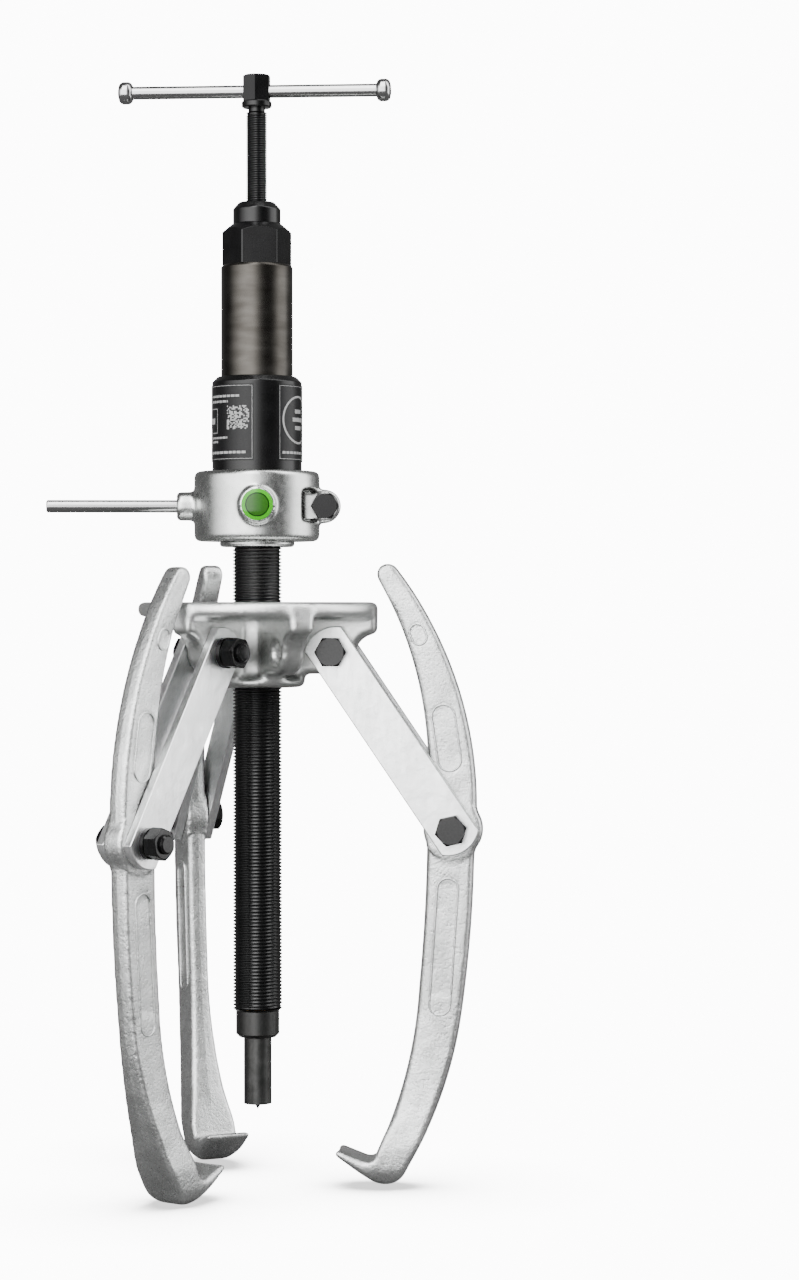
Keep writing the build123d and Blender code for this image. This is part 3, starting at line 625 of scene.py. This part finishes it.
def cast_zinc():
    """Satin casting, bright and coarse round the yoke's plate, and shinier from there up."""
    g = Graph("cast_zinc", metallic=1.0)
    height = g.height()
    blur = 10 * MM
    plate = g.math(
        "MULTIPLY", g.ramp(height, COARSE_LOW, COARSE_LOW + blur),
        g.ramp(height, COARSE_HIGH - blur, COARSE_HIGH, 1.0, 0.0),
    )
    peel = g.grain(240, 3, 0.55)
    fine = g.grain(1100, 3, 0.6)
    coarse = g.grain(900, 2, 0.7)
    dull = g.clouds(g.grain(38, 3, 0.6), (0.46, 0.47, 0.46), (0.58, 0.59, 0.58))
    g.set("Base Color", g.mix(plate, dull, (0.86, 0.87, 0.86)))
    shiny = g.ramp(height, SHINY_LOW, SHINY_HIGH)
    g.set("Roughness", g.math("MULTIPLY_ADD", shiny, -0.12, g.spread(peel, 0.34, 0.43)))
    wide = g.bump(peel, 0.06 * MM, 0.5)
    sparkle = g.bump(g.math("MULTIPLY", coarse, plate), 0.5 * MM, 0.8, wide)
    g.set("Normal", g.bump(fine, 0.03 * MM, 0.6, sparkle))
    return g.material


def bright_steel():
    g = Graph("bright_steel", metallic=1.0, Base_Color=(0.4, 0.4, 0.4, 1))
    fine = g.grain(500, 4, 0.6)
    g.set("Roughness", g.spread(fine, 0.12, 0.22))
    g.set("Normal", g.bump(fine, 0.01 * MM, 0.5))
    return g.material


def black_oxide():
    """Blackened steel, worn bare below the spindle's thread."""
    g = Graph("black_oxide", Specular_IOR_Level=0.3)
    fine = g.grain(700, 4, 0.6)
    line = SPINDLE_THREAD_FOOT - 2 * MM
    bare = g.ramp(g.height(), line - 0.5 * MM, line + 0.5 * MM, 1.0, 0.0)
    black = g.clouds(g.grain(80, 2, 0.5), (0.002, 0.002, 0.0021), (0.004, 0.004, 0.0042))
    g.set("Base Color", g.mix(bare, black, (0.07, 0.07, 0.069)))
    g.set("Metallic", bare)
    g.set("Roughness", g.math("ADD", g.spread(fine, 0.16, 0.28), g.ramp(bare, 0.0, 1.0, 0.0, 0.12)))
    g.set("Normal", g.bump(fine, 0.015 * MM, 0.5))
    return g.material


def dark_turned():
    g = Graph("dark_turned", metallic=1.0)
    lines = g.grain(1.0, 2, 0.5, g.stretched(14, 14, 5200))
    tone = g.grain(1.0, 2, 0.5, g.stretched(30, 30, 120))
    g.set("Base Color", g.mix(g.spread(tone), (0.040, 0.037, 0.033), (0.062, 0.058, 0.053)))
    g.set("Roughness", g.spread(g.grain(60, 3, 0.6), 0.24, 0.36))
    g.set("Normal", g.bump(lines, 0.008 * MM, 0.7))
    return g.material


def ground_steel():
    g = Graph("ground_steel", metallic=1.0)
    lines = g.grain(1.0, 2, 0.5, g.stretched(16, 16, 4200))
    tone = g.grain(90, 3, 0.6)
    g.set("Base Color", g.mix(g.spread(tone), (0.065, 0.065, 0.064), (0.095, 0.095, 0.093)))
    g.set("Roughness", g.spread(tone, 0.28, 0.42))
    g.set("Normal", g.bump(lines, 0.006 * MM, 0.6))
    return g.material


def bronze():
    g = Graph("bronze", metallic=1.0, Base_Color=(0.55, 0.36, 0.16, 1))
    g.set("Roughness", g.spread(g.grain(600), 0.28, 0.42))
    return g.material


def seal_rubber():
    g = Graph("seal_rubber", Base_Color=(0.012, 0.012, 0.012, 1), Roughness=0.6)
    g.set("Normal", g.bump(g.grain(900), 0.03 * MM, 0.5))
    return g.material


def spring_steel():
    g = Graph("spring_steel", metallic=1.0, Base_Color=(0.3, 0.31, 0.33, 1))
    g.set("Roughness", g.spread(g.grain(800), 0.24, 0.38))
    return g.material


def label_film():
    g = Graph("label_film", Base_Color=(0.006, 0.006, 0.0065, 1), Specular_IOR_Level=0.2)
    g.set("Roughness", g.spread(g.grain(300), 0.26, 0.36))
    return g.material


def label_print():
    g = Graph("label_print", Base_Color=(0.3, 0.3, 0.3, 1))
    g.set("Roughness", g.spread(g.grain(300), 0.35, 0.45))
    return g.material


def green_plastic():
    """Bright green cap with a darker middle and a thin dark line round it."""
    g = Graph("green_plastic", Roughness=0.12, Specular_IOR_Level=0.25)
    disc_radius, line_radius, blur = 9 * MM, 10.1 * MM, 0.2 * MM
    front = turned_about(RING_ANGLE - 90) @ Vector((1, 0, 0))
    place = g.node("ShaderNodeVectorMath", {0: g.place, 1: (0, 0, CAP_HEIGHT)}, operation="SUBTRACT")
    across = g.node(
        "ShaderNodeVectorMath", {0: place.outputs[0], 1: tuple(front)}, operation="CROSS_PRODUCT",
    )
    radius = g.node("ShaderNodeVectorMath", {0: across.outputs[0]}, operation="LENGTH").outputs["Value"]
    outside_disc = g.ramp(radius, disc_radius, disc_radius + blur)
    inside_line = g.ramp(radius, line_radius, line_radius + blur, 1.0, 0.0)
    green = g.mix(outside_disc, (0.022, 0.1, 0.009), (0.045, 0.34, 0.01))
    line = g.math("MULTIPLY", outside_disc, inside_line)
    g.set("Base Color", g.mix(line, green, (0.004, 0.02, 0.003)))
    return g.material


MATERIALS = {make.__name__: make() for make in (
    forged_zinc, plated_bar, cast_zinc, bright_steel, black_oxide, dark_turned, ground_steel,
    bronze, seal_rubber, spring_steel, label_film, label_print, green_plastic,
)}


def paint(obj, material):
    obj.data.materials.clear()
    obj.data.materials.append(MATERIALS[material])


# ======================================================================================
# The object
# ======================================================================================

def make_object():
    """A detailed piece for most CAD nodes, and the CAD's own mesh for the rest."""
    done = set()

    def dress(piece, node):
        paint(piece, slot_of(node))
        done.add(node)

    for node in THREADS:
        dress(threaded(node), node)
    for side in ARM_ANGLES:
        dress(make_arm(side), f"{side}_arm")
    for node in CASTINGS:
        dress(cast_piece(node), node)
    for node, edge in EDGES.items():
        dress(machined(node, edge), node)
    for side in ARM_ANGLES:
        for kind, edge in ARM_SIDE_EDGES.items():
            dress(machined(f"{side}_{kind}", edge), f"{side}_{kind}")
    dress(make_spring(), "return_spring")
    for node in sorted(set(frame["nodes"]) - done):
        paint(frame["nodes"][node], slot_of(node))
    make_prints()


# ======================================================================================
# Studio
# ======================================================================================

def make_floor():
    """Floor that the camera sees as glowing white with soft contact shadows painted into its glow from
    ambient occlusion, and the object as dark.
    """
    bm = bmesh.new()
    bmesh.ops.create_grid(bm, x_segments=8, y_segments=8, size=FLOOR_SIZE)
    floor = bpy.data.objects.new("floor", plain_mesh(bm, "floor"))
    floor.location.z = cad_low.z
    bpy.context.scene.collection.objects.link(floor)
    g = Graph("floor", Base_Color=FLOOR_TONE, Roughness=0.9)
    # Painted contact shadow: ambient occlusion dims the floor's white glow close to the object.
    painted_contact_shadow = g.node("ShaderNodeAmbientOcclusion", {"Distance": SHADOW_REACH}, samples=16).outputs["AO"]
    strength = g.math("MULTIPLY", g.ramp(painted_contact_shadow, 0.55, 1.0, 0.12, 1.0), WHITE)
    glow = g.node("ShaderNodeEmission", {"Color": (1, 1, 1, 1), "Strength": strength}).outputs[0]
    seen = g.node("ShaderNodeLightPath").outputs["Is Camera Ray"]
    both = g.node("ShaderNodeMixShader", {0: seen, 1: g.shader.outputs[0], 2: glow}).outputs[0]
    g.tree.links.new(both, g.tree.nodes["Material Output"].inputs["Surface"])
    floor.data.materials.append(g.material)


def make_world():
    """Room that the camera sees as white, and the object as bright bands with dark gaps between."""
    world = bpy.data.worlds.new("studio")
    bpy.context.scene.world = world
    world.use_nodes = True
    tree = world.node_tree

    def ring_of_light(bands):
        """Brightness by direction round the axis."""
        ramp = add_node(tree, "ShaderNodeValToRGB", {0: share.outputs[0]})
        stops = ramp.color_ramp.elements
        while len(stops) < len(bands):
            stops.new(0.5)
        top = max(level for _, level in bands)
        for stop, (angle, level) in zip(stops, bands):
            stop.position = (angle + 180) / 360
            stop.color = (level / top,) * 3 + (1,)
        return add_node(tree, "ShaderNodeMath", {0: ramp.outputs[0], 1: top}, operation="MULTIPLY").outputs[0]

    view = tree.nodes.new("ShaderNodeTexCoord").outputs["Generated"]
    split = add_node(tree, "ShaderNodeSeparateXYZ", {0: view})
    turn = add_node(tree, "ShaderNodeMath", {0: split.outputs[1], 1: split.outputs[0]}, operation="ARCTAN2")
    share = add_node(tree, "ShaderNodeMapRange", {"Value": turn.outputs[0], "From Min": -pi, "From Max": pi})
    low_room = ring_of_light(LOW_BANDS)
    high_room = ring_of_light(HIGH_BANDS)
    rise = add_node(tree, "ShaderNodeMapRange", {
        "Value": split.outputs[2], "From Min": LOW_BANDS_END, "From Max": HIGH_BANDS_START,
    })
    room = add_node(tree, "ShaderNodeMix", {0: rise.outputs[0], 2: low_room, 3: high_room}, data_type="FLOAT")
    seen = add_node(tree, "ShaderNodeLightPath").outputs["Is Camera Ray"]
    strength = add_node(tree, "ShaderNodeMix", {0: seen, 2: room.outputs[0], 3: WHITE}, data_type="FLOAT")
    back = tree.nodes["Background"]
    back.inputs["Color"].default_value = (1, 1, 1, 1)
    tree.links.new(strength.outputs[0], back.inputs["Strength"])


def make_camera():
    data = bpy.data.cameras.new("camera")
    data.sensor_width = 36
    data.lens = CAMERA_LENS
    data.clip_end = 50
    camera = bpy.data.objects.new("camera", data)
    azimuth = radians(CAMERA_AZIMUTH)
    camera.location = (
        CAMERA_DISTANCE * sin(azimuth), -CAMERA_DISTANCE * cos(azimuth), CAMERA_HEIGHT,
    )
    turn = Matrix.Rotation(azimuth - radians(CAMERA_YAW), 4, "Z")
    tilt = Matrix.Rotation(radians(90 - CAMERA_PITCH), 4, "X")
    roll = Matrix.Rotation(radians(CAMERA_ROLL), 4, "Z")
    camera.rotation_euler = (turn @ tilt @ roll).to_euler()
    bpy.context.scene.collection.objects.link(camera)
    bpy.context.scene.camera = camera


make_object()
make_floor()
make_world()
make_camera()
